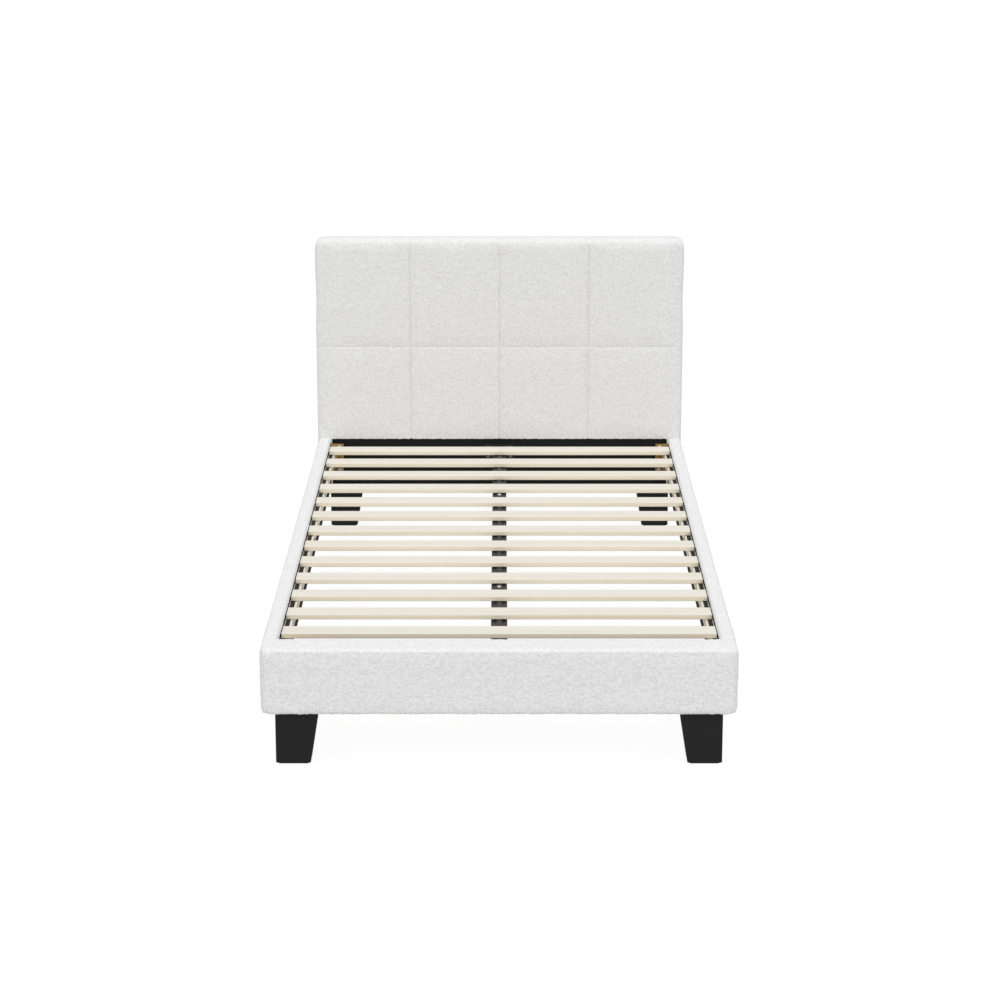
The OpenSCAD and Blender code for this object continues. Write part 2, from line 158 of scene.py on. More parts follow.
class Graph:
    """One material's node tree, from its coordinates to its surface."""

    def __init__(self, name: str) -> None:
        """Starts an empty tree that reads Object coordinates.

        Args:
            name: The material's name.
        """
        self.material = bpy.data.materials.new(name)
        self.material.use_nodes = True
        self.tree = self.material.node_tree
        self.tree.nodes.clear()
        self.place = self.node("ShaderNodeTexCoord", output="Object")

    def node(self, kind: str, settings: Optional[dict] = None, inputs: Optional[dict] = None,
             output: Union[int, str] = 0) -> Socket:
        """Adds a node.

        Args:
            kind: The node's type.
            settings: Its properties, set first.
            inputs: Values or links, by the name or number of their sockets.
            output: The name or number of the output to return.

        Returns:
            The chosen output.
        """
        made = self.tree.nodes.new(kind)
        for key, value in (settings or {}).items():
            setattr(made, key, value)
        for key, value in (inputs or {}).items():
            if isinstance(value, Socket):
                self.tree.links.new(value.link, made.inputs[key])
            else:
                made.inputs[key].default_value = value
        return Socket(self, made.outputs[output])

    def stretched(self, scale: Sequence[float], turn: Sequence[float] = (0, 0, 0)) -> Socket:
        """The coordinates, turned and then multiplied along each axis."""
        return self.node("ShaderNodeMapping", {}, {"Vector": self.place, "Scale": scale, "Rotation": turn})

    def noise(self, at: Socket, scale: float, detail: float = 2.0, distortion: float = 0.0) -> Socket:
        """Smooth noise from 0 to 1."""
        inputs = {"Vector": at, "Scale": scale, "Detail": detail, "Distortion": distortion}
        return self.node("ShaderNodeTexNoise", {}, inputs)

    def cells(self, at: Socket, scale: float) -> Socket:
        """Distance to the nearest of a scatter of points."""
        return self.node("ShaderNodeTexVoronoi", {"feature": "F1"}, {"Vector": at, "Scale": scale})

    def part(self, at: Socket, axis: Axis) -> Socket:
        """One coordinate of a vector."""
        return self.node("ShaderNodeSeparateXYZ", {}, {0: at}, axis.value)

    def blend(self, amount: Value, low: Union[Socket, Colour], high: Union[Socket, Colour]) -> Socket:
        """A colour between low and high."""
        low, high = (c if isinstance(c, Socket) else (*c, 1.0) for c in (low, high))
        return self.node("ShaderNodeMix", {"data_type": "RGBA"}, {0: amount, 6: low, 7: high}, 2)

    def upright(self) -> Socket:
        """How level the surface lies: 1 on tops and undersides, 0 on walls."""
        facing = self.node("ShaderNodeNewGeometry", output="Normal")
        return self.part(facing, Axis.Z).size()

    def jitter(self, scale: float, reach: float) -> Socket:
        """The coordinates, pushed about by coloured noise.

        Args:
            scale: The noise's scale.
            reach: How far the noise pushes, in metres.

        Returns:
            The pushed coordinates.
        """
        push = self.node("ShaderNodeTexNoise", {}, {"Vector": self.place, "Scale": scale, "Detail": 2.0}, 1)
        settings = {"operation": "MULTIPLY_ADD"}
        return self.node("ShaderNodeVectorMath", settings, {0: push, 1: (reach,) * 3, 2: self.place})

    def bump(self, height: Socket, depth: float, strength: float = 1.0) -> Socket:
        """A normal bent by a height from 0 to 1 that stands for a depth in metres."""
        return self.node("ShaderNodeBump", {}, {"Height": height, "Distance": depth, "Strength": strength})

    def surface(self, **sockets: Union[Socket, float, Sequence[float]]) -> bpy.types.Material:
        """Ends the tree in a Principled BSDF whose sockets are named with underscores.

        Args:
            **sockets: Values or links, by the names of their sockets.

        Returns:
            The material.
        """
        inputs = {key.replace("_", " "): value for key, value in sockets.items()}
        shader = self.node("ShaderNodeBsdfPrincipled", {}, inputs)
        self.node_output(shader)
        return self.material

    def node_output(self, shader: Socket) -> None:
        """Joins a shader to the material's output."""
        made = self.tree.nodes.new("ShaderNodeOutputMaterial")
        self.tree.links.new(shader.link, made.inputs["Surface"])


# ---------------------------------------------------------------- finishes


@dataclass(frozen=True)
class LoopedCloth:
    """White cloth with a pile of small curled loops."""

    light: Colour = (0.894, 0.894, 0.897)
    hollow_shade: Colour = (0.787, 0.787, 0.784)
    curl: float = 8.5 * MM
    relief: float = 0.9 * MM

    def material(self) -> bpy.types.Material:
        """Two layers of crossing curls over fuzz, as bump and as colour; the colour darkens in the low places
        of the pile as painted shade.

        Returns:
            The material.
        """
        g = Graph("looped_cloth")
        pushed = g.jitter(0.9 / self.curl, 0.5 * self.curl)
        wide = g.noise(pushed, 1 / self.curl, detail=1).ridges().above(0.5, 0.9)
        turned = g.stretched((1.0, 1.0, 1.0), (0.6, 0.4, 0.9))
        fine = g.noise(turned, 1.7 / self.curl, detail=1).ridges().above(0.5, 0.9)
        fuzz = g.noise(g.place, 12 / self.curl, detail=3)
        patches = g.noise(g.place, 9.0, detail=3)
        height = 0.5 * wide + 0.32 * fine + 0.18 * fuzz
        # Painted shade: the low places of the pile are blended towards a darker colour, standing for the
        # shade between the loops. The patches below shift the tone towards it at random.
        colour = g.blend(height.above(0.6, 0.75), self.hollow_shade, self.light)
        colour = g.blend(0.05 * patches, colour, self.hollow_shade)
        return g.surface(Base_Color=colour, Roughness=0.96, Sheen_Weight=0.15, Sheen_Roughness=0.6,
                         Specular_IOR_Level=0.15, Normal=g.bump(height, self.relief, 0.8))


@dataclass(frozen=True)
class SpunCloth:
    """Black non-woven cloth, pressed with a fine grid of points."""

    base: Colour = (0.007, 0.007, 0.007)
    fibre: Colour = (0.021, 0.021, 0.021)
    pitch: float = 2.4 * MM

    def material(self) -> bpy.types.Material:
        """Fibres between pressed points.

        Returns:
            The material.
        """
        g = Graph("spun_cloth")
        turns = math.tau / self.pitch
        waves = [g.part(g.stretched((turns,) * 3), axis).sine() for axis in Axis]
        points = (waves[0] + waves[1] + waves[2]).above(1.1, 0.7)
        fibres = g.noise(g.place, 700.0, detail=4, distortion=1.5)
        height = fibres - 0.8 * points
        colour = g.blend(fibres.above(0.55, 0.35), self.base, self.fibre)
        return g.surface(Base_Color=colour, Roughness=0.9 - 0.1 * points, Specular_IOR_Level=0.2,
                         Normal=g.bump(height, 0.3 * MM, 0.7))


@dataclass(frozen=True)
class Webbing:
    """Black tape with ribs along it and cross threads."""

    thread: Colour = (0.012, 0.012, 0.011)
    crown: Colour = (0.075, 0.070, 0.062)
    rib: float = 3.2 * MM
    pick: float = 3.6 * MM

    def material(self) -> bpy.types.Material:
        """A plain weave, with painted highlights that lighten the crowns of its threads.

        Returns:
            The material.
        """
        g = Graph("webbing")
        ribs = (g.part(g.place, Axis.X) * (math.tau / self.rib)).sine()
        picks = (g.part(g.place, Axis.Y) * (math.tau / self.pick)).sine()
        weave = 0.5 + 0.5 * (ribs * picks)
        hairs = g.noise(g.place, 1500.0, detail=2)
        # Painted highlight: the raised crowns of the weave get a lighter colour than the black thread.
        colour = g.blend(weave.above(0.6, 0.5) * (0.55 + 0.45 * hairs), self.thread, self.crown)
        return g.surface(Base_Color=colour, Roughness=0.82, Specular_IOR_Level=0.3,
                         Normal=g.bump(weave, 0.4 * MM))


@dataclass(frozen=True)
class Wood:
    """Planed softwood, or a sheet of veneer, with its grain along one axis."""

    name: str
    pale: Colour
    dark: Colour
    grain: Axis
    rings: float = 26.0
    contrast: float = 0.5
    knots: float = 0.05
    # Multiplies the colour of walls: partly the tint of saw-cut timber, partly painted light that brightens
    # them.
    sawn: Colour = (1.0, 1.0, 1.0)

    def _along(self, along: float, across: float) -> tuple[float, ...]:
        """A scale that is small along the grain and large across it."""
        return tuple(along if axis is self.grain else across for axis in Axis)

    def material(self) -> bpy.types.Material:
        """Growth rings, fibres and a few knots, with the walls tinted like saw-cut timber and brightened with
        painted light.

        Returns:
            The material.
        """
        g = Graph(self.name)
        field_of_rings = g.noise(g.stretched(self._along(0.55, 16.0)), 1.0, detail=2, distortion=0.4)
        rings = 0.5 + 0.5 * (field_of_rings * self.rings).sine()
        fibres = g.noise(g.stretched(self._along(14.0, 1100.0)), 1.0, detail=3)
        streaks = g.noise(g.stretched(self._along(2.0, 60.0)), 1.0, detail=3)
        knot_field = g.cells(g.stretched(self._along(1.9, 9.0)), 1.0)
        knots = 1.0 - knot_field.above(self.knots, self.knots)
        tone = self.contrast * (0.42 * rings + 0.33 * streaks + 0.25 * fibres)
        colour = g.blend(tone, self.pale, self.dark)
        knot_colour = tuple(0.45 * c for c in self.dark)
        colour = g.blend(0.8 * knots, colour, knot_colour)
        # Painted light: walls, but not tops or undersides, are multiplied by a tint that is partly the colour
        # of saw-cut timber and partly painted light that brightens them.
        wall_tint_and_light = g.blend(g.upright(), self.sawn, (1.0, 1.0, 1.0))
        colour = g.node("ShaderNodeMix", {"data_type": "RGBA", "blend_type": "MULTIPLY"},
                        {0: 1.0, 6: colour, 7: wall_tint_and_light}, 2)
        height = 0.6 * fibres + 0.4 * rings
        return g.surface(Base_Color=colour, Roughness=0.66 - 0.1 * rings, Specular_IOR_Level=0.3,
                         Normal=g.bump(height, 0.25 * MM, 0.5))


@dataclass(frozen=True)
class Coated:
    """Black paint, moulded plastic or rubber: a dark skin with a fine texture."""

    name: str
    colour: Colour
    roughness: float
    grain: float = 0.7 * MM
    relief: float = 0.05 * MM
    scuff: Colour = (0.09, 0.085, 0.08)
    gloss: float = 0.3

    def material(self) -> bpy.types.Material:
        """Orange peel, cloudy dust and a few scuffs.

        Returns:
            The material.
        """
        g = Graph(self.name)
        peel = g.noise(g.place, 1 / self.grain, detail=2)
        clouds = g.noise(g.place, 14.0, detail=4)
        scuffs = g.noise(g.stretched((220.0, 220.0, 40.0)), 1.0, detail=4, distortion=1.0).above(0.72, 0.08)
        colour = g.blend(0.35 * scuffs * clouds, self.colour, self.scuff)
        rough = self.roughness + 0.12 * (clouds - 0.5) + 0.2 * scuffs
        return g.surface(Base_Color=colour, Roughness=rough, Specular_IOR_Level=self.gloss,
                         Normal=g.bump(peel, self.relief, 0.6))


@dataclass(frozen=True)
class Zinc:
    """Zinc-plated steel with a faint drawn grain."""

    name: str = "zinc_plate"
    bright: Colour = (0.80, 0.78, 0.75)
    dull: Colour = (0.52, 0.50, 0.48)

    def material(self) -> bpy.types.Material:
        """Clouded plating.

        Returns:
            The material.
        """
        g = Graph(self.name)
        clouds = g.noise(g.place, 180.0, detail=3)
        grain = g.noise(g.stretched((900.0, 900.0, 120.0)), 1.0, detail=2)
        colour = g.blend(clouds.above(0.5, 0.5), self.dull, self.bright)
        return g.surface(Base_Color=colour, Metallic=0.9, Roughness=0.24 + 0.22 * grain,
                         Normal=g.bump(grain, 0.05 * MM, 0.4))


@dataclass(frozen=True)
class OpenFoam:
    """Yellowish open-cell foam."""

    wall: Colour = (0.86, 0.81, 0.62)
    pore_shade: Colour = (0.60, 0.54, 0.36)

    def material(self) -> bpy.types.Material:
        """Pores of about a millimetre, darkened with painted shade.

        Returns:
            The material.
        """
        g = Graph("open_foam")
        pores = g.cells(g.place, 900.0)
        # Painted shade: the pores are coloured darker than the cell walls, standing for the shade inside
        # them.
        colour = g.blend(pores.above(0.45, 0.4), self.pore_shade, self.wall)
        return g.surface(Base_Color=colour, Roughness=0.95, Normal=g.bump(pores, 0.5 * MM))


class Finishes:
    """Every material of the bed, made once and looked up by its slot."""

    def __init__(self) -> None:
        """Makes the materials."""
        # The pine's wall tint is partly saw-cut colour and partly painted light that brightens the walls of
        # the slats and ledges.
        pine = {"pale": (0.84, 0.805, 0.74), "dark": (0.71, 0.645, 0.51), "sawn": (1.17, 1.11, 0.985)}
        timber = {"pale": (0.66, 0.50, 0.31), "dark": (0.44, 0.28, 0.14)}
        amber = {"pale": (0.47, 0.31, 0.10), "dark": (0.26, 0.145, 0.035)}
        self.slat = Wood("slat_pine", grain=Axis.X, **pine).material()
        self.ledge = Wood("ledge_pine", grain=Axis.Y, **pine).material()
        self.dark_zinc = Zinc("dark_zinc", bright=(0.30, 0.29, 0.28), dull=(0.16, 0.155, 0.15)).material()
        self.by_slot: dict[Slot, bpy.types.Material] = {
            Slot.LOOPED: LoopedCloth().material(),
            Slot.LINING: SpunCloth().material(),
            Slot.WEBBING: Webbing().material(),
            Slot.FOAM: OpenFoam().material(),
            Slot.TIMBER: Wood("rail_timber", grain=Axis.X, contrast=0.8, **timber).material(),
            Slot.PLYWOOD: Wood("plywood", grain=Axis.X, contrast=0.6, knots=0.02, **timber).material(),
            Slot.PALE_PINE: self.slat,
            Slot.AMBER_PINE: Wood("amber_pine", grain=Axis.Z, rings=60.0, contrast=1.0, **amber).material(),
            Slot.STEEL: Coated("powder_coat", (0.028, 0.028, 0.029), 0.42).material(),
            Slot.ZINC: Zinc().material(),
            Slot.PLASTIC: Coated("leg_plastic", (0.0130, 0.0130, 0.0135), 0.55, gloss=0.2).material(),
            Slot.PAD: Coated("pad_plastic", (0.018, 0.018, 0.018), 0.55).material(),
            Slot.RUBBER: Coated("rubber", (0.014, 0.014, 0.014), 0.8).material(),
        }


# ---------------------------------------------------------------- mesh helpers


def block(low: Vector, high: Vector) -> bmesh.types.BMesh:
    """A cuboid between two corners.

    Args:
        low: The lowest corner.
        high: The highest corner.

    Returns:
        A new mesh.
    """
    mesh = bmesh.new()
    bmesh.ops.create_cube(mesh, size=1.0)
    bmesh.ops.scale(mesh, vec=high - low, verts=mesh.verts)
    bmesh.ops.translate(mesh, vec=(low + high) / 2, verts=mesh.verts)
    return mesh


def ramp(value: float, start: float, end: float) -> float:
    """Rises from 0 at start to 1 at end, and is level beyond them."""
    return min(1.0, max(0.0, (value - start) / (end - start)))


def edges_on(mesh: bmesh.types.BMesh, *planes: tuple[Axis, float]) -> list[bmesh.types.BMEdge]:
    """The edges whose two ends both lie on every plane."""
    return [e for e in mesh.edges
            if all(abs(v.co[axis.value] - at) < SAME_PLACE for v in e.verts for axis, at in planes)]


def round_edges(mesh: bmesh.types.BMesh, edges: Iterable[bmesh.types.BMEdge], radius: float,
                segments: int = 4) -> None:
    """Bevels edges to a radius."""
    bmesh.ops.bevel(mesh, geom=list(set(edges)), offset=radius, offset_type="OFFSET", affect="EDGES",
                    segments=segments, profile=0.5, material=-1)


def round_at(mesh: bmesh.types.BMesh, radius: float, *planes: tuple[Axis, float], segments: int = 4) -> None:
    """Bevels the edges that lie on every plane."""
    round_edges(mesh, edges_on(mesh, *planes), radius, segments)


def make_object(mesh: bmesh.types.BMesh, name: str, smooth: bool = True) -> bpy.types.Object:
    """Turns a bmesh into an object at the origin, and frees the bmesh.

    Args:
        mesh: The mesh, which is used up.
        name: The object's name.
        smooth: Whether its faces are shaded smooth.

    Returns:
        The object, in the scene.
    """
    data = bpy.data.meshes.new(name)
    mesh.to_mesh(data)
    mesh.free()
    data.shade_smooth() if smooth else data.shade_flat()
    made = bpy.data.objects.new(name, data)
    bpy.context.scene.collection.objects.link(made)
    return made


def settle(piece: bpy.types.Object) -> None:
    """Applies every modifier of a piece.

    Args:
        piece: The object, whose mesh is renewed.
    """
    shown = piece.evaluated_get(bpy.context.evaluated_depsgraph_get())
    fresh = bpy.data.meshes.new_from_object(shown)
    piece.modifiers.clear()
    old, piece.data = piece.data, fresh
    bpy.data.meshes.remove(old)


def thicken(piece: bpy.types.Object, thickness: float, offset: float) -> None:
    """Gives a sheet its thickness, inwards at an offset of -1 and both ways at 0.

    Args:
        piece: The sheet's object.
        thickness: Its thickness.
        offset: Which side the thickness goes to.
    """
    wall = piece.modifiers.new("cloth", "SOLIDIFY")
    wall.thickness = thickness
    wall.offset = offset
    settle(piece)
    piece.data.shade_smooth()


def slice_at(mesh: bmesh.types.BMesh, axis: Axis, places: Iterable[float]) -> None:
    """Cuts edge loops across a mesh at places along an axis.

    Args:
        mesh: The mesh to work on.
        axis: The axis that the cuts cross.
        places: Where they lie along it.
    """
    normal = Vector([float(other is axis) for other in Axis])
    for place in places:
        near = [f for f in mesh.faces
                if min(v.co[axis.value] for v in f.verts) < place < max(v.co[axis.value] for v in f.verts)]
        cut = near + list({e for f in near for e in f.edges}) + list({v for f in near for v in f.verts})
        bmesh.ops.bisect_plane(mesh, geom=cut, dist=SAME_PLACE, plane_co=normal * place, plane_no=normal)


def loose_boxes(node: str, reach: float = 0.02 * MM) -> list[tuple[Vector, Vector]]:
    """The corners of each separate solid in a CAD node, from a merged copy of its mesh.

    Args:
        node: The CAD node.
        reach: How close two points are merged.

    Returns:
        Pairs of lowest and highest corners, in order of place.
    """
    mesh = bmesh.new()
    mesh.from_mesh(frame["nodes"][node].data)
    bmesh.ops.remove_doubles(mesh, verts=mesh.verts, dist=reach)
    left, boxes = set(mesh.verts), []
    while left:
        island, front = set(), [left.pop()]
        while front:
            vert = front.pop()
            island.add(vert)
            linked = {e.other_vert(vert) for e in vert.link_edges} & left
            left -= linked
            front.extend(linked)
        places = np.array([v.co for v in island])
        boxes.append((Vector(places.min(0)), Vector(places.max(0))))
    mesh.free()
    return sorted(boxes, key=lambda box: tuple(round(c, 4) for c in box[0]))


def publish(piece: bpy.types.Object, material: bpy.types.Material,
            stands_for: Sequence[str] = ()) -> None:
    """Dresses a new piece, lets it ride on the bed frame and hides the CAD nodes that it stands for.

    Args:
        piece: The new piece.
        material: Its finish.
        stands_for: The CAD nodes that it replaces.
    """
    piece.data.materials.clear()
    piece.data.materials.append(material)
    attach(piece, BODY)
    if stands_for:
        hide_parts(*stands_for)
    replaced = ", ".join(stands_for) or "nothing"
    LOG.info("%s: %d faces, in place of %s", piece.name, len(piece.data.polygons), replaced)


# ---------------------------------------------------------------- upholstery


@dataclass(frozen=True)
class Seam:
    """A seam that is pulled into the padding, on a plane across one axis."""

    axis: Axis
    place: float
    start: float
    end: float
    depth: float
    width: float = 3.0 * MM
    fade: float = 40 * MM

    def pull(self, at: Vector) -> float:
        """How strongly the seam pulls at a point, from 0 to 1, by its distance along the seam.

        Args:
            at: The point.

        Returns:
            The pull.
        """
        along = at[(Axis.Z if self.axis is Axis.X else Axis.X).value]
        inside = min(along - self.start, self.end - along)
        return ramp(inside, -self.fade / 2, self.fade / 2)


@dataclass(frozen=True)
class Window:
    """An opening cut in a cover, on the side that faces a direction."""

    facing: Vector
    low: Vector
    high: Vector

    def holds(self, face: bmesh.types.BMFace) -> bool:
        """Whether a face lies in the opening.

        Args:
            face: A face of the cover.

        Returns:
            True if the face is cut out.
        """
        at = face.calc_center_median()
        inside = all(self.low[i] <= at[i] <= self.high[i] for i in range(3))
        return inside and face.normal.dot(self.facing) > 0.5

    def borders(self) -> Iterable[tuple[Axis, tuple[float, float]]]:
        """The two planes across each axis that bound the opening.

        Yields:
            An axis, and the two places along it.
        """
        for axis in Axis:
            if abs(self.facing[axis.value]) < 0.5:
                yield axis, (self.low[axis.value], self.high[axis.value])


def no_lean(_at: Vector) -> Vector:
    """Leaves a point of a cover where it is."""
    return Vector((0, 0, 0))


@dataclass
class PaddedCover:
    """Looped cloth over a padded block.

    It is inflated by simulation, seamed, given its pile, and opened where it is stapled.
    """

    name: str
    low: Vector
    high: Vector
    stands_for: Sequence[str]
    shape: Callable[[bmesh.types.BMesh, Vector, Vector], None]
    held: Callable[[Vector], bool]
    seams: Sequence[Seam] = ()
    windows: Sequence[Window] = ()
    swell: float = 6 * MM
    pressure: float = 4.0
    cell: float = 9 * MM
    cloth: float = 3 * MM
    pile: float = 1.1 * MM
    lump: float = 9 * MM
    curl: float = 5 * MM
    patch: float = 45 * MM
    ragged: float = 1.6 * MM
    tuft: float = 4 * MM
    fill: float = 0.9
    seam_cuts: Sequence[float] = (0.0, 0.5, 1.0, 1.8)
    lean: Callable[[Vector], Vector] = no_lean

    def build(self, material: bpy.types.Material) -> bpy.types.Object:
        """Makes the cover and returns its object.

        Args:
            material: The cloth.

        Returns:
            The finished cover.
        """
        mesh = block(self.low, self.high)
        self.shape(mesh, self.low, self.high)
        piece = make_object(mesh, self.name)
        remesh = piece.modifiers.new("even_cells", "REMESH")
        remesh.mode = "VOXEL"
        remesh.voxel_size = self.cell
        settle(piece)
        self._inflate(piece)
        subdivision = piece.modifiers.new("finer", "SUBSURF")
        subdivision.levels = subdivision.render_levels = 1
        settle(piece)
        self._finish_surface(piece)
        thicken(piece, self.cloth, -1.0)
        publish(piece, material, stands_for=self.stands_for)
        return piece

    def _inflate(self, piece: bpy.types.Object, frames: int = 20) -> None:
        """Blows the cover up from inside with its held places fixed, and caps how far a point may move.

        Args:
            piece: The cover.
            frames: The number of steps.
        """
        rest = np.array([v.co for v in piece.data.vertices])
        held = piece.vertex_groups.new(name="held")
        held.add([v.index for v in piece.data.vertices if self.held(v.co)], 1.0, "REPLACE")
        cloth = piece.modifiers.new("inflate", "CLOTH")
        cloth.settings.vertex_group_mass = held.name
        cloth.settings.use_pressure = True
        cloth.settings.uniform_pressure_force = self.pressure
        cloth.settings.effector_weights.gravity = 0.0
        cloth.settings.tension_stiffness = cloth.settings.compression_stiffness = 12.0
        cloth.settings.quality = 4
        cloth.point_cache.frame_start, cloth.point_cache.frame_end = 1, frames
        scene = bpy.context.scene
        for step in range(1, frames + 1):
            scene.frame_set(step)
        shown = piece.evaluated_get(bpy.context.evaluated_depsgraph_get())
        moved = np.array([v.co for v in shown.data.vertices]) - rest
        outward = np.array([v.normal for v in piece.data.vertices])
        moved -= np.minimum((moved * outward).sum(1, keepdims=True), 0.0) * outward
        reach = np.linalg.norm(moved, axis=1, keepdims=True)
        soft_cap = self.swell * np.tanh(reach / self.swell) / np.maximum(reach, 1e-9)
        LOG.info("%s: cloth moved %.1f mm at most", self.name, reach.max() / MM)
        piece.modifiers.clear()
        piece.vertex_groups.clear()
        scene.frame_set(1)
        piece.data.vertices.foreach_set("co", (rest + moved * soft_cap).ravel())
        piece.data.update()

    def _finish_surface(self, piece: bpy.types.Object) -> None:
        """Adds the seams' grooves and the pile, and cuts the windows out.

        Args:
            piece: The inflated cover.
        """
        mesh = bmesh.new()
        mesh.from_mesh(piece.data)
        for seam in self.seams:
            steps = {seam.place + side * seam.width * share for share in self.seam_cuts for side in (-1, 1)}
            slice_at(mesh, seam.axis, sorted(steps))
        for window in self.windows:
            for axis, places in window.borders():
                slice_at(mesh, axis, places)
        mesh.normal_update()
        normals = {v: v.normal.copy() for v in mesh.verts}
        for vert, normal in normals.items():
            depth = self._groove_depth(vert.co, normal)
            lift = self._pile_height(vert.co) * max(0.3, 1.0 - depth / (2 * MM))
            vert.co += normal * (lift - depth) + self.lean(vert.co)
        opened = [f for f in mesh.faces if any(w.holds(f) for w in self.windows)]
        bmesh.ops.delete(mesh, geom=opened, context="FACES")
        for vert in mesh.verts:
            if vert.is_boundary:
                vert.co.z -= self.ragged * (0.5 + 0.9 * noise.noise(vert.co / self.tuft))
            elif normals[vert].z < -0.5:
                vert.co.z -= self.ragged * max(0.0, 0.3 + noise.noise(vert.co / self.curl))
        mesh.to_mesh(piece.data)
        mesh.free()

    def _groove_depth(self, at: Vector, normal: Vector) -> float:
        """How deep the seams pull the surface in at a point.

        Args:
            at: The point.
            normal: The surface's direction there.

        Returns:
            The depth.
        """
        deepest = 0.0
        for seam in self.seams:
            away = (at[seam.axis.value] - seam.place) / seam.width
            if abs(away) < 3.0 and normal.y < 0.6:
                deepest = max(deepest, seam.depth * seam.pull(at) * math.exp(-away * away))
        return deepest

    def _pile_height(self, at: Vector) -> float:
        """The relief of the looped pile at a point, from its lumps and its curls.

        Args:
            at: The point.

        Returns:
            The height.
        """
        lumps = noise.voronoi(at / self.lump)[0][0]
        curls = noise.noise(at / self.curl)
        broad = noise.noise(at / self.patch)
        return self.pile * (0.9 - 1.1 * lumps + 0.55 * curls + 0.35 * broad)


@dataclass
class HeadboardCover:
    """The headboard's cover, in two rows of stitched squares."""

    finishes: Finishes
    corner: float = 23 * MM
    front: float = 13 * MM
    rear: float = 7 * MM
    drawn_in: float = -2.6 * MM
    swollen: float = 2.6 * MM
    swell: float = 3.2 * MM
    upright_depth: float = 4.0 * MM
    upright_width: float = 2.2 * MM
    level_depth: float = 0.9 * MM
    held_rear: float = 12 * MM
    held_front: float = 30 * MM
    held_seam: float = 6 * MM
    held_side: float = 10 * MM
    held_lower_side: float = 26 * MM
    reach: float = 20 * MM

    def __post_init__(self) -> None:
        """Reads the boxes that the cover fits, and places its seams."""
        self.low, self.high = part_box("headboard_cover")
        self.rail_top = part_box("foot_rail_cover")[1].z
        middle_low, middle_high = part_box("headboard_middle_rail")
        self.seam_z = (middle_low.z + middle_high.z) / 2
        top_fade = self.high.z - 22 * MM
        self.upright = [Seam(Axis.X, place, self.rail_top - 60 * MM, top_fade, self.upright_depth,
                             self.upright_width) for place in UPRIGHT_SEAMS]
        self.level = Seam(Axis.Z, self.seam_z, self.low.x + 16 * MM, self.high.x - 16 * MM, self.level_depth)

    def build(self) -> None:
        """Makes the cover, open over the lower panel and over the back."""
        panel_low, panel_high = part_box("headboard_lower_cover")
        back_low, back_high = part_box("headboard_back_cover")
        panel = Window(Vector((0, -1, 0)), Vector((panel_low.x, self.low.y - self.reach, panel_low.z)),
                       Vector((panel_high.x, self.low.y + self.reach, self.rail_top)))
        back = Window(Vector((0, 1, 0)), Vector((back_low.x, self.high.y - self.reach, back_low.z)),
                      Vector((back_high.x, self.high.y + self.reach, back_high.z)))
        cover = PaddedCover("headboard_upholstery", self.low, self.high, ["headboard_cover"], self._shape,
                            self._held, [*self.upright, self.level], [panel, back], swell=self.swell,
                            lean=self._lean)
        cover.build(self.finishes.by_slot[Slot.LOOPED])

    def _shape(self, mesh: bmesh.types.BMesh, low: Vector, high: Vector) -> None:
        """Rounds the upper corners, and then the front and rear outlines.

        Args:
            mesh: The block to shape.
            low: Its lowest corner.
            high: Its highest corner.
        """
        for x in (low.x, high.x):
            round_at(mesh, self.corner, (Axis.X, x), (Axis.Z, high.z), segments=8)
        round_at(mesh, self.front, (Axis.Y, low.y), segments=5)
        round_at(mesh, self.rear, (Axis.Y, high.y))

    def _held(self, at: Vector) -> bool:
        """The back, the foot of the front and the seams don't swell.

        Args:
            at: A point of the cover.

        Returns:
            Whether it is held.
        """
        on_seam = abs(at.z - self.seam_z) < self.held_seam or any(
            abs(at.x - seam.place) < self.held_seam for seam in self.upright)
        flat = at.y > self.high.y - self.held_rear or at.z < self.rail_top + 4 * MM
        margin = self.held_lower_side if at.z < self.seam_z + 80 * MM else self.held_side
        return flat or abs(at.x) > self.high.x - margin or (on_seam and at.y < self.low.y + self.held_front)

    def _lean(self, at: Vector) -> Vector:
        """Draws both sides in up to the level seam, and lets them swell towards the top.

        Args:
            at: A point of the cover.

        Returns:
            How far it moves.
        """
        depth = self.high.y - self.low.y
        rise = ramp(at.z, self.seam_z + 40 * MM, self.seam_z + 230 * MM)
        crown = 0.6 + 0.4 * math.cos(math.pi * (at.y - (self.low.y + self.high.y) / 2) / depth)
        out = self.drawn_in + (self.swollen * crown - self.drawn_in) * rise * rise * (3 - 2 * rise)
        side = max(0.0, (abs(at.x) - 0.9 * self.high.x) / (0.1 * self.high.x))
        return Vector((math.copysign(out * side, at.x), 0, 0))


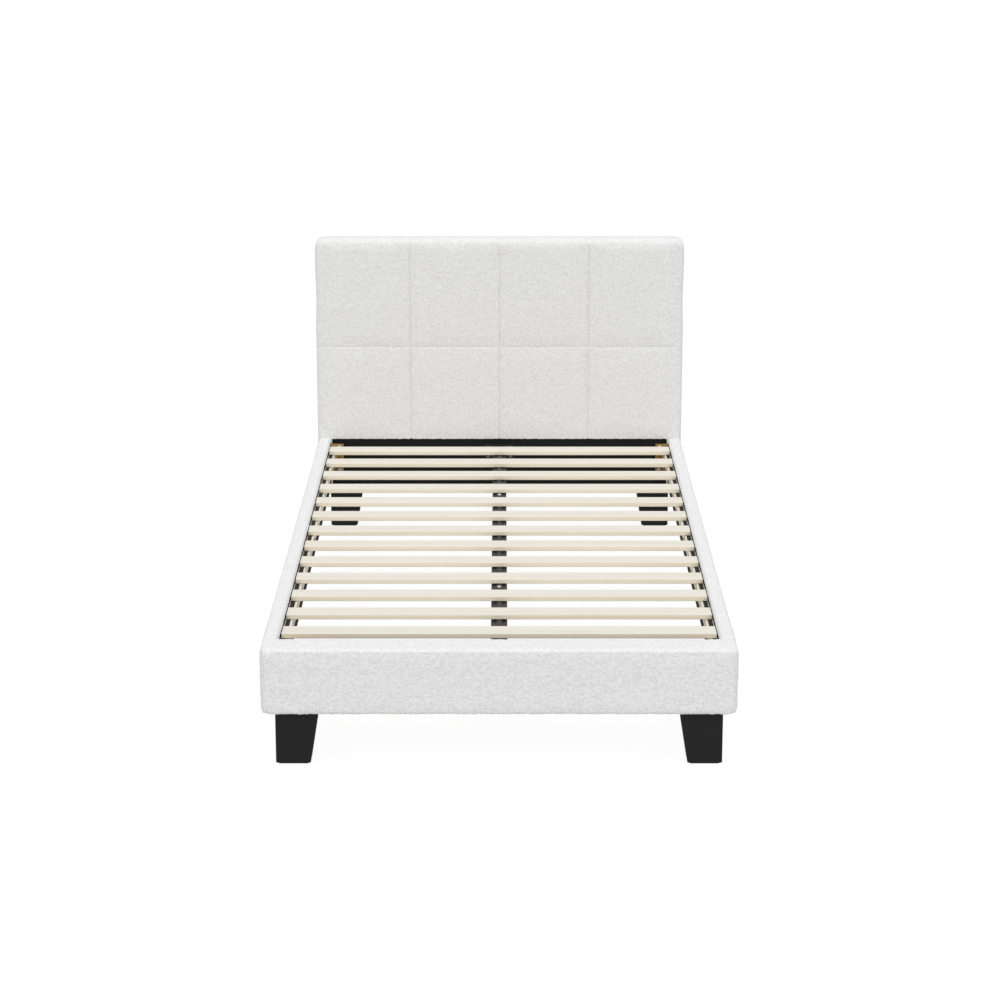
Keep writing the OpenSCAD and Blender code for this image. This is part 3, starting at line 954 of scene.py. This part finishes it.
@dataclass
class FootRailCover:
    """The foot rail's cover, open behind over its lining."""

    finishes: Finishes
    corner: float = 18 * MM
    top: float = 3 * MM
    lower: float = 4 * MM
    hem_drop: float = 5 * MM
    turned: float = 2.4 * MM
    welt: float = 1.2 * MM
    swell: float = 1.5 * MM
    cell: float = 8 * MM
    reach: float = 20 * MM

    def __post_init__(self) -> None:
        """Reads the box that the cover fits."""
        self.low, self.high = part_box("foot_rail_cover")

    def build(self) -> None:
        """Makes the cover, open behind below the slats' level."""
        lip_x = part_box("slat_01")[1].x + 1 * MM
        lining_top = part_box("rail_linings")[1].z
        window = Window(Vector((0, 1, 0)), Vector((-lip_x, self.high.y - self.reach, self.low.z + 3 * MM)),
                        Vector((lip_x, self.high.y + self.reach, lining_top)))
        cover = PaddedCover("foot_rail_upholstery", self.low, self.high, ["foot_rail_cover"], self._shape,
                            self._held, windows=[window], swell=self.swell, lean=self._hang, cell=self.cell)
        cover.build(self.finishes.by_slot[Slot.LOOPED])

    def _shape(self, mesh: bmesh.types.BMesh, low: Vector, high: Vector) -> None:
        """Rounds the outer corners, and then the upper and lower outlines.

        Args:
            mesh: The block to shape.
            low: Its lowest corner.
            high: Its highest corner.
        """
        for x in (low.x, high.x):
            round_at(mesh, self.corner, (Axis.X, x), (Axis.Y, low.y), segments=6)
        rear = edges_on(mesh, (Axis.Y, high.y))
        outline = [e for e in edges_on(mesh, (Axis.Z, high.z)) if e not in rear]
        round_edges(mesh, outline, self.top, segments=5)
        round_at(mesh, self.lower, (Axis.Z, low.z))

    def _held(self, at: Vector) -> bool:
        """The back, the ends and the underside don't swell.

        Args:
            at: A point of the cover.

        Returns:
            Whether it is held.
        """
        inside = min(at.y - self.low.y, self.high.x - abs(at.x)) > 9 * MM
        end = abs(at.x) > self.high.x - 6 * MM and at.y > self.low.y + 25 * MM
        return at.y > self.high.y - 8 * MM or end or (at.z < self.low.z + 6 * MM and inside)

    def _hang(self, at: Vector) -> Vector:
        """Hangs the cloth past the rail's outer lower edge, and lets its turned back edge stand proud.

        Args:
            at: A point of the cover.

        Returns:
            How far it moves.
        """
        outside = 1.0 - ramp(min(at.y - self.low.y, self.high.x - abs(at.x)), 0.0, 10 * MM)
        near = 1.0 - ramp(at.z, self.low.z, self.low.z + 25 * MM)
        behind, raised = (ramp(place, edge - 12 * MM, edge - 4 * MM)
                          for place, edge in ((at.y, self.high.y), (at.z, self.high.z)))
        return Vector((0, self.turned * behind, self.welt * behind * raised - self.hem_drop * outside * near))


@dataclass
class SideRailCover:
    """One side rail's cover, open inside below its lip: side is -1 on the left and 1 on the right."""

    finishes: Finishes
    side: int
    top: float = 9 * MM
    tucked: float = 14 * MM
    lip: float = 8 * MM
    swell: float = 2 * MM
    cell: float = 8 * MM
    reach: float = 10 * MM

    def __post_init__(self) -> None:
        """Reads the rail's box, and runs its ends into the covers that they meet."""
        self.name = "left" if self.side < 0 else "right"
        self.low, self.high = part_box(f"side_rail_cover_{self.name}")
        self.low.y, self.high.y = self.low.y - self.tucked, self.high.y + self.tucked
        sides = (self.low.x, self.high.x)
        self.outer, self.inner = sides if self.side < 0 else sides[::-1]

    def build(self) -> None:
        """Makes the cover, open at both ends and inside below the lip."""
        low, high, reach = self.low, self.high, self.reach
        lining_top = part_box("rail_linings")[1].z
        span = (low.x - reach, low.x + self.lip) if self.side > 0 else (high.x - self.lip, high.x + reach)
        inside = Window(Vector((-self.side, 0, 0)), Vector((span[0], low.y - reach, low.z - reach)),
                        Vector((span[1], high.y + reach, lining_top)))
        ends = [Window(Vector((0, way, 0)), Vector((low.x - reach, place - reach, low.z - reach)),
                       Vector((high.x + reach, place + reach, high.z + reach)))
                for way, place in ((-1, low.y), (1, high.y))]
        cover = PaddedCover(f"side_rail_upholstery_{self.name}", low, high, [f"side_rail_cover_{self.name}"],
                            self._shape, self._held, windows=[inside, *ends], swell=self.swell,
                            cell=self.cell)
        cover.build(self.finishes.by_slot[Slot.LOOPED])

    def _shape(self, mesh: bmesh.types.BMesh, low: Vector, high: Vector) -> None:
        """Rounds the edges that run along the rail.

        Args:
            mesh: The block to shape.
            low: Its lowest corner.
            high: Its highest corner.
        """
        round_at(mesh, self.top, (Axis.X, self.outer), (Axis.Z, high.z), segments=5)
        round_at(mesh, 0.6 * self.top, (Axis.X, self.inner), (Axis.Z, high.z))
        round_at(mesh, 0.8 * self.top, (Axis.X, self.outer), (Axis.Z, low.z))

    def _held(self, at: Vector) -> bool:
        """The inner side, the underside and the ends don't swell."""
        return (abs(at.x - self.inner) < 10 * MM or at.z < self.low.z + 6 * MM
                or at.y < self.low.y + 12 * MM or at.y > self.high.y - 12 * MM)


@dataclass
class Staples:
    """A set of staple crowns, each a short rounded wire."""

    name: str
    facing: Vector
    crown: float = 10 * MM
    wire: float = 0.9 * MM
    tilt: float = 0.12
    seed: int = 7
    mesh: bmesh.types.BMesh = field(default_factory=bmesh.new)

    def __post_init__(self) -> None:
        """Seeds the small differences between staples."""
        self.random = random.Random(self.seed)

    def add(self, at: Vector, along: Axis) -> None:
        """Adds one crown, lying along an axis with a small tilt.

        Args:
            at: The crown's middle.
            along: The axis that it lies along.
        """
        made = bmesh.ops.create_cube(self.mesh, size=1.0)["verts"]
        size = Vector((self.wire,) * 3)
        size[along.value] = self.crown
        turn = Matrix.Rotation(self.random.uniform(-self.tilt, self.tilt), 4, self.facing)
        place = Matrix.Translation(at) @ turn @ Matrix.Diagonal((*size, 1))
        bmesh.ops.transform(self.mesh, matrix=place, verts=made)

    def build(self, material: bpy.types.Material) -> None:
        """Rounds the wires and publishes them as one piece."""
        round_edges(self.mesh, self.mesh.edges, 0.3 * self.wire, segments=2)
        publish(make_object(self.mesh, self.name), material)


@dataclass
class BackCloth:
    """The black cloth over the headboard's back, drawn tight between its staples."""

    finishes: Finishes
    overlap: float = 14 * MM
    proud: float = 2.2 * MM
    sag: float = 3 * MM
    hem: float = 12 * MM
    fold: float = 0.9 * MM
    pitch: float = 66 * MM
    pull: float = 1.1 * MM
    crease: float = 1.5 * MM
    thickness: float = 0.7 * MM

    def __post_init__(self) -> None:
        """Places the cloth's corners and its plane."""
        back_low, back_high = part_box("headboard_back_cover")
        self.low = Vector((back_low.x - self.overlap, 0, back_low.z - self.overlap))
        self.high = Vector((back_high.x + self.overlap, 0, back_high.z + self.overlap))
        self.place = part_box("headboard_cover")[1].y + self.proud

    def build(self) -> None:
        """Makes the cloth and its staples."""
        size, middle = self.high - self.low, (self.low + self.high) / 2
        mesh = bmesh.new()
        bmesh.ops.create_grid(mesh, x_segments=170, y_segments=116, size=0.5)
        bmesh.ops.scale(mesh, vec=(size.x, size.z, 1), verts=mesh.verts)
        standing = Matrix.Rotation(math.radians(90), 3, "X")
        bmesh.ops.rotate(mesh, cent=(0, 0, 0), matrix=standing, verts=mesh.verts)
        bmesh.ops.translate(mesh, vec=(middle.x, self.place, middle.z), verts=mesh.verts)
        for vert in mesh.verts:
            vert.co.y += self._relief(vert.co)
        bmesh.ops.recalc_face_normals(mesh, faces=mesh.faces)
        piece = make_object(mesh, "back_cloth")
        thicken(piece, self.thickness, 0.0)
        publish(piece, self.finishes.by_slot[Slot.LINING], stands_for=["headboard_back_cover"])
        self._staple()

    def _relief(self, at: Vector) -> float:
        """How far the cloth stands out at a point: its folded hem, its sag, and the pull of its staples.

        Args:
            at: A point of the flat cloth.

        Returns:
            The distance, positive towards the rear.
        """
        level = min(at.z - self.low.z, self.high.z - at.z)
        edge = min(at.x - self.low.x, self.high.x - at.x, level)
        inside = ramp(edge, self.hem, self.hem + 90 * MM)
        fading = math.exp(-max(0.0, edge - self.hem) / (30 * MM))
        tension = self.pull * math.cos(math.tau * (at.x if level == edge else at.z) / self.pitch) * fading
        creases = self.crease * noise.noise(Vector((at.x * 7, 0, at.z * 3.2)))
        fold = self.fold if edge < self.hem else 0.0
        return fold - self.sag * inside * inside + (tension + creases) * ramp(edge, self.hem, 2 * self.hem)

    def _staple(self) -> None:
        """Staples the cloth along the middle of its hem."""
        rows = Staples("back_staples", Vector((0, 1, 0)))
        for along, across, inset in ((Axis.X, Axis.Z, self.hem), (Axis.Z, Axis.X, 2 * self.hem)):
            start, end = self.low[along.value] + inset, self.high[along.value] - inset
            count = round((end - start) / self.pitch)
            for row in (self.low[across.value] + self.hem / 2, self.high[across.value] - self.hem / 2):
                for i in range(count + 1):
                    at = Vector((0, self.place + 1.6 * MM, 0))
                    at[along.value], at[across.value] = start + i * (end - start) / count, row
                    rows.add(at, along)
        rows.build(self.finishes.by_slot[Slot.ZINC])


@dataclass(frozen=True)
class Cut:
    """The sharp edges of a pad on one plane, within a span along Y, and the radius that rounds them."""

    axis: Axis
    place: float
    radius: float
    start: float = -math.inf
    end: float = math.inf

    def picks(self, at: Vector) -> bool:
        """Whether a point lies on the cut's plane and in its span."""
        return abs(at[self.axis.value] - self.place) < SAME_PLACE and self.start < at.y < self.end


@dataclass
class FoamPads:
    """The foam under the covers, with its outer corners cut to the covers' rounding."""

    finishes: Finishes
    thick: float = 10 * MM
    thin: float = 3.6 * MM
    crease: float = 4.5 * MM
    crease_w: float = 9 * MM
    slack: float = 2.5 * MM
    skin: float = 6 * MM
    front: float = 15.2 * MM
    shared: float = 0.5 * MM
    fold: float = 0.6

    def build(self) -> None:
        """Cuts the four pads. The foot rail's is thick in front of its board and thin over its top."""
        self._pad("headboard_foam", [Cut(Axis.Y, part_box("headboard_foam")[0].y, self.thick)], UPRIGHT_SEAMS)
        foot_low, foot_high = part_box("foot_rail_foam")
        board = foot_low.y + self.front
        self._pad("foot_rail_foam", [Cut(Axis.Z, foot_high.z, self.thick, end=board),
                                     Cut(Axis.Z, foot_high.z, self.thin, start=board - self.shared)])
        for name in ("side_rail_foam_left", "side_rail_foam_right"):
            self._pad(name, [Cut(Axis.Z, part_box(name)[1].z, self.thin)])

    def _pad(self, name: str, cuts: Sequence[Cut], creases: Sequence[float] = ()) -> None:
        """Makes one pad from a merged copy of its node.

        Args:
            name: The CAD node.
            cuts: The edges to round.
            creases: Places along X where seams press an upright crease into the front.
        """
        mesh = bmesh.new()
        mesh.from_mesh(frame["nodes"][name].data)
        bmesh.ops.remove_doubles(mesh, verts=mesh.verts, dist=SAME_PLACE)
        bmesh.ops.dissolve_limit(mesh, angle_limit=math.radians(1), verts=mesh.verts, edges=mesh.edges)
        for cut in cuts:
            sharp = [e for e in mesh.edges if len(e.link_faces) == 2 and e.calc_face_angle() > self.fold
                     and all(cut.picks(v.co) for v in e.verts)]
            round_edges(mesh, sharp, cut.radius)
        side = max(abs(v.co.x) for v in mesh.verts)
        for vert in mesh.verts:
            near = max(0.0, 1.0 - (side - abs(vert.co.x)) / self.skin)
            vert.co.x -= math.copysign(self.slack * near, vert.co.x)
        front = min(v.co.y for v in mesh.verts)
        for place in creases:
            slice_at(mesh, Axis.X, (place - self.crease_w, place, place + self.crease_w))
            pressed = [v for v in mesh.verts
                       if abs(v.co.x - place) < SAME_PLACE and v.co.y < front + self.thick]
            bmesh.ops.translate(mesh, vec=(0, self.crease, 0), verts=pressed)
        publish(make_object(mesh, f"{name}_pad", smooth=False), self.finishes.by_slot[Slot.FOAM],
                stands_for=[name])


# ---------------------------------------------------------------- legs and fasteners


@dataclass
class CornerLegs:
    """The four tapered legs, with softened edges and a shallow step above the glide."""

    finishes: Finishes
    edge: float = 1.0 * MM
    step: float = 2.0 * MM
    rim: float = 4 * MM

    def build(self) -> None:
        """Makes each leg from the box and the taper of its CAD node."""
        for name in ("front_left_leg", "front_right_leg", "rear_left_leg", "rear_right_leg"):
            self._leg(name)

    def _leg(self, name: str) -> None:
        """One leg.

        Args:
            name: Its CAD node.
        """
        low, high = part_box(name)
        feet = [v.co.x for v in frame["nodes"][name].data.vertices if v.co.z < low.z + 0.5 * MM]
        mesh = block(low, high)
        for vert in mesh.verts:
            if vert.co.z < (low.z + high.z) / 2:
                vert.co.x = min(feet) if vert.co.x < (low.x + high.x) / 2 else max(feet)
        round_edges(mesh, mesh.edges, self.edge, segments=3)
        underside = [f for f in mesh.faces if f.normal.z < -0.99]
        bmesh.ops.inset_region(mesh, faces=underside, thickness=self.rim, depth=0.0)
        sole = list({v for f in underside for v in f.verts})
        bmesh.ops.translate(mesh, vec=(0, 0, self.step / 2), verts=sole)
        piece = make_object(mesh, name.replace("_leg", "_tapered_leg"))
        publish(piece, self.finishes.by_slot[Slot.PLASTIC], stands_for=[name])


class Drive(Enum):
    """The recess in a fastener's head."""

    HEX = 6
    CROSS = 4


@dataclass
class Fasteners:
    """Domed heads with a driven recess, on plain shanks, where a CAD node has its solids."""

    node: str
    drive: Drive
    head_r: float
    head_h: float
    shank_r: float
    towards: Callable[[Vector, Vector], Vector]
    ring: int = 24
    dome: Sequence[tuple[float, float]] = ((1.0, 0.35), (0.94, 0.68), (0.80, 0.92), (0.62, 1.0))
    recess_levels: Sequence[float] = (1.0, 0.45)

    def build(self, material: bpy.types.Material) -> None:
        """Makes one fastener for each solid of the node, and replaces the node.

        Args:
            material: The plating.
        """
        mesh = bmesh.new()
        for low, high in loose_boxes(self.node):
            self._fastener(mesh, low, high)
        piece = make_object(mesh, f"{self.node}_detailed")
        publish(piece, material, stands_for=[self.node])

    def _fastener(self, mesh: bmesh.types.BMesh, low: Vector, high: Vector) -> None:
        """One fastener, modelled head up at the origin and then put in place.

        Args:
            mesh: The mesh to add to.
            low: The solid's lowest corner.
            high: The solid's highest corner.
        """
        outward = self.towards(low, high)
        length = abs((high - low).dot(outward))
        made = self._head(mesh)
        shank = bmesh.ops.create_cone(mesh, cap_ends=True, segments=16, radius1=self.shank_r * 0.8,
                                      radius2=self.shank_r, depth=length - self.head_h)["verts"]
        bmesh.ops.translate(mesh, vec=(0, 0, -(length - self.head_h) / 2), verts=shank)
        centre = (low + high) / 2
        seat = centre + outward * (length / 2 - self.head_h)
        turn = Vector((0, 0, 1)).rotation_difference(outward).to_matrix().to_4x4()
        bmesh.ops.transform(mesh, matrix=Matrix.Translation(seat) @ turn, verts=made + shank)

    def _head(self, mesh: bmesh.types.BMesh) -> list[bmesh.types.BMVert]:
        """A domed head whose last ring is pushed down into the recess.

        Args:
            mesh: The mesh to add to.

        Returns:
            The head's vertices.
        """
        circle = bmesh.ops.create_circle(mesh, cap_ends=True, segments=self.ring, radius=self.head_r)
        first = circle["verts"]
        bmesh.ops.reverse_faces(mesh, faces=list({f for v in first for f in v.link_faces}))
        edges = list({e for v in first for e in v.link_edges})
        made = list(first)
        for share, level in (*self.dome, *((0.0, level) for level in self.recess_levels)):
            ring = bmesh.ops.extrude_edge_only(mesh, edges=edges)["geom"]
            verts = [g for g in ring if isinstance(g, bmesh.types.BMVert)]
            edges = [g for g in ring if isinstance(g, bmesh.types.BMEdge)]
            for vert in verts:
                angle = math.atan2(vert.co.y, vert.co.x)
                radius = self.head_r * share if share else self._recess(angle)
                vert.co = Vector((radius * math.cos(angle), radius * math.sin(angle), self.head_h * level))
            made += verts
        bmesh.ops.contextual_create(mesh, geom=edges)
        return made

    def _recess(self, angle: float) -> float:
        """The recess's radius at an angle.

        Args:
            angle: The angle about the head, in radians.

        Returns:
            The radius.
        """
        sector = math.tau / self.drive.value
        off = (angle + sector / 2) % sector - sector / 2
        if self.drive is Drive.HEX:
            return 0.46 * self.head_r * math.cos(sector / 2) / math.cos(off)
        return self.head_r * (0.5 if abs(off) < 0.2 else 0.2)


class Fittings:
    """Bolts and screws whose heads show, with the way that their heads face."""

    def __init__(self, finishes: Finishes) -> None:
        """Keeps the finishes."""
        self.zinc = finishes.by_slot[Slot.ZINC]
        self.dark_zinc = finishes.dark_zinc

    def build(self) -> None:
        """Makes every visible fastener."""

        def to_middle(low: Vector, high: Vector) -> Vector:
            """Along the solid's long axis, towards the middle of the bed.

            Args:
                low: The solid's lowest corner.
                high: The solid's highest corner.

            Returns:
                The way that the head faces.
            """
            size, centre = high - low, (low + high) / 2
            axis = max(range(3), key=lambda i: size[i])
            way = Vector((0, 0, 0))
            way[axis] = -math.copysign(1.0, centre[axis])
            return way

        def upwards(_low: Vector, _high: Vector) -> Vector:
            """Straight up."""
            return Vector((0, 0, 1))

        Fasteners("corner_bolts", Drive.HEX, head_r=7 * MM, head_h=4.5 * MM, shank_r=4 * MM,
                  towards=to_middle).build(self.zinc)
        Fasteners("centre_leg_bolts", Drive.HEX, head_r=5.75 * MM, head_h=3.3 * MM, shank_r=3 * MM,
                  towards=upwards).build(self.zinc)
        Fasteners("wood_screws", Drive.CROSS, head_r=4 * MM, head_h=2 * MM, shank_r=2 * MM,
                  towards=to_middle).build(self.dark_zinc)


# ---------------------------------------------------------------- the carried-over frame


@dataclass
class CarriedFrame:
    """The CAD nodes that stay as they are, with their finishes and softened edges."""

    finishes: Finishes

    def dress(self) -> None:
        """Gives every CAD node its material, and the timber, plywood and steel ones a small bevel, apart from
        the centre legs.
        """
        slots = {part["node"]: Slot(part["material_slot"]) for part in frame["record"]["subparts"]}
        soft_edges = {Slot.TIMBER: 1.0 * MM, Slot.AMBER_PINE: 1.2 * MM, Slot.STEEL: 0.5 * MM,
                      Slot.PLYWOOD: 0.6 * MM, Slot.PALE_PINE: 0.8 * MM}
        for name, node in frame["nodes"].items():
            slot = slots[name]
            material = self.finishes.by_slot[slot]
            if name.startswith("slat_ledge"):
                material = self.finishes.ledge
            for place in node.material_slots:
                place.material = material
            if slot in soft_edges and not name.startswith("centre_leg"):
                self._soften(node, soft_edges[slot])

    @staticmethod
    def _soften(node: bpy.types.Object, width: float) -> None:
        """Joins a node's loose triangles and bevels its sharp edges, in modifiers only.

        Args:
            node: The CAD node's object.
            width: The width of the bevel.
        """
        weld = node.modifiers.new("joined", "WELD")
        weld.merge_threshold = SAME_PLACE
        bevel = node.modifiers.new("soft_edges", "BEVEL")
        bevel.width = width
        bevel.segments = 2
        bevel.limit_method = "ANGLE"
        bevel.angle_limit = math.radians(50)
        bevel.use_clamp_overlap = True


# ---------------------------------------------------------------- studio


@dataclass(frozen=True)
class Studio:
    """A pale floor, even light from all round, a soft light from the front, and the camera."""

    camera_at: tuple[float, float, float] = (0.0037, -6.5585, 2.102)
    camera_tilt: float = 15.03
    camera_yaw: float = 0.017
    lens: float = 94.2
    floor_reach: float = 120.0
    floor_glow: float = 1.04
    floor_share: float = 0.88
    ambient: float = 0.665
    key: float = 1.38
    key_height: float = 61.0
    key_spread: float = 55.0

    def build(self) -> None:
        """Makes the camera first, and then the floor and the light."""
        self._camera()
        self._floor()
        self._sky()
        self._key_light()
        bpy.context.scene.view_settings.view_transform = "Standard"

    def _camera(self) -> None:
        """The scene's camera."""
        data = bpy.data.cameras.new("camera")
        data.lens = self.lens
        data.sensor_width = 36.0
        data.clip_end = 500.0
        camera = bpy.data.objects.new("camera", data)
        camera.location = self.camera_at
        camera.rotation_euler = (math.radians(90 - self.camera_tilt), 0, math.radians(self.camera_yaw))
        bpy.context.scene.collection.objects.link(camera)
        bpy.context.scene.camera = camera

    def _floor(self) -> None:
        """A white floor that takes faint shadows, and sends up the same light as the sky."""
        mesh = bmesh.new()
        bmesh.ops.create_grid(mesh, x_segments=1, y_segments=1, size=self.floor_reach)
        floor = make_object(mesh, "floor", smooth=False)
        g = Graph("studio_floor")
        matte = g.node("ShaderNodeBsdfDiffuse", {}, {"Color": (0.9, 0.9, 0.9, 1)})
        glow = g.node("ShaderNodeEmission", {}, {"Color": (1, 1, 1, 1), "Strength": self.floor_glow})
        seen = g.node("ShaderNodeMixShader", {}, {0: self.floor_share, 1: matte, 2: glow})
        lit = g.node("ShaderNodeEmission", {}, {"Color": (1, 1, 1, 1), "Strength": self.ambient})
        direct = g.node("ShaderNodeLightPath", output="Is Camera Ray")
        g.node_output(g.node("ShaderNodeMixShader", {}, {0: direct, 1: lit, 2: seen}))
        floor.data.materials.append(g.material)

    def _sky(self) -> None:
        """Even light from the sky, which is seen as white."""
        world = bpy.data.worlds.new("studio")
        world.use_nodes = True
        tree = world.node_tree
        tree.nodes.clear()
        seen = tree.nodes.new("ShaderNodeLightPath")
        lit, white = (tree.nodes.new("ShaderNodeBackground") for _ in range(2))
        for shader in (lit, white):
            shader.inputs["Color"].default_value = (1, 1, 1, 1)
        lit.inputs["Strength"].default_value = self.ambient
        mix = tree.nodes.new("ShaderNodeMixShader")
        out = tree.nodes.new("ShaderNodeOutputWorld")
        tree.links.new(seen.outputs["Is Camera Ray"], mix.inputs[0])
        tree.links.new(lit.outputs[0], mix.inputs[1])
        tree.links.new(white.outputs[0], mix.inputs[2])
        tree.links.new(mix.outputs[0], out.inputs["Surface"])
        bpy.context.scene.world = world

    def _key_light(self) -> None:
        """One broad light from high in front of the foot."""
        lamp = bpy.data.lights.new("key", "SUN")
        lamp.energy = self.key
        lamp.angle = math.radians(self.key_spread)
        key = bpy.data.objects.new("key", lamp)
        key.rotation_euler = (math.radians(90 - self.key_height), 0, 0)
        bpy.context.scene.collection.objects.link(key)


def main() -> None:
    """Builds the studio and the bed's sub-assemblies in order."""
    logging.basicConfig(level=logging.INFO, format="%(name)s %(message)s")
    Studio().build()
    finishes = Finishes()
    CarriedFrame(finishes).dress()
    FoamPads(finishes).build()
    HeadboardCover(finishes).build()
    FootRailCover(finishes).build()
    SideRailCover(finishes, -1).build()
    SideRailCover(finishes, 1).build()
    BackCloth(finishes).build()
    CornerLegs(finishes).build()
    Fittings(finishes).build()


if __name__ == "__main__":
    main()
